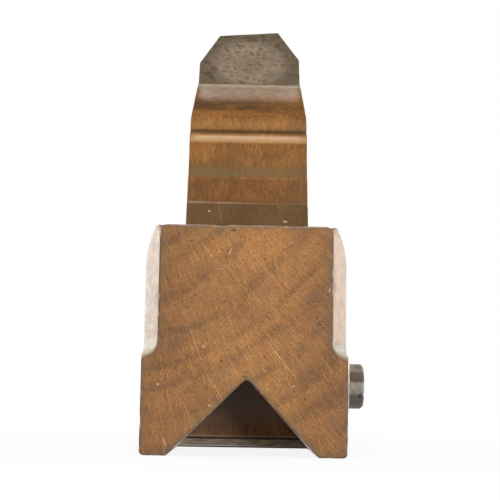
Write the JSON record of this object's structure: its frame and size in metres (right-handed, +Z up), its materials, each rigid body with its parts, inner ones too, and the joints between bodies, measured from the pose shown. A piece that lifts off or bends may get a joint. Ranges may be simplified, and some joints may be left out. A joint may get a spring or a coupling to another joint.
{
  "type": "chamfer plane",
  "caption": "Wooden hand plane with a right-angled groove in its sole that rides on the corner of a board, with a sliding stop, a wedge and a single iron.",
  "frame": {"origin": "middle of the sole: half way along the block, half way across it, in the plane of its two feet", "axes": "+X to the right as the toe is faced, +Y from toe to heel along the groove, +Z up from the feet"},
  "size_m": [0.0621, 0.165, 0.1611],
  "materials": {
    "beech": "oiled end grain, worn",
    "dark_beech": "dark, handled",
    "wedge_beech": "polished by use",
    "iron_steel": "darkened, spotted with rust",
    "sole_steel": "worn, dull",
    "screw_steel": "darkened",
    "brass": "dull"
  },
  "bodies": {
    "block": {"stock": "beech", "screw_boss": "brass", "boss_screws": "screw_steel"},
    "stop": {"stop_box": "dark_beech", "stop_sole_plate": "sole_steel", "stop_sole_screws": "screw_steel", "stop_wear_plate": "sole_steel", "wear_plate_pins": "brass"},
    "wedge": {"wedge": "wedge_beech"},
    "iron": {"iron": "iron_steel"},
    "pad": {"pressure_pad": "brass"},
    "screw": {"lock_screw": "screw_steel"}
  },
  "joints": [
    {"name": "stop_slide", "type": "slide", "parent": "block", "child": "stop", "axis": [0, 0.3746, 0.9272], "range_m": [-0.001, 0.0165]},
    {"name": "wedge_slide", "type": "slide", "parent": "block", "child": "wedge", "axis": [0, 0.5736, 0.8192], "range_m": [0, 0.03]},
    {"name": "iron_slide", "type": "slide", "parent": "block", "child": "iron", "axis": [0, 0.5736, 0.8192], "range_m": [-0.0004, 0.03]},
    {"name": "screw_turn", "type": "hinge", "parent": "pad", "child": "screw", "pos_m": [0.03, -0.0365, 0.019], "axis": [1, 0, 0], "range_deg": [0, 900]},
    {"name": "screw_advance", "type": "slide", "parent": "block", "child": "pad", "axis": [1, 0, 0], "range_m": [0, 0.0032]}
  ],
  "couplings": [
    {"joint": "screw_advance", "follows": "screw_turn", "m_per_rad": 0.00019894}
  ]
}
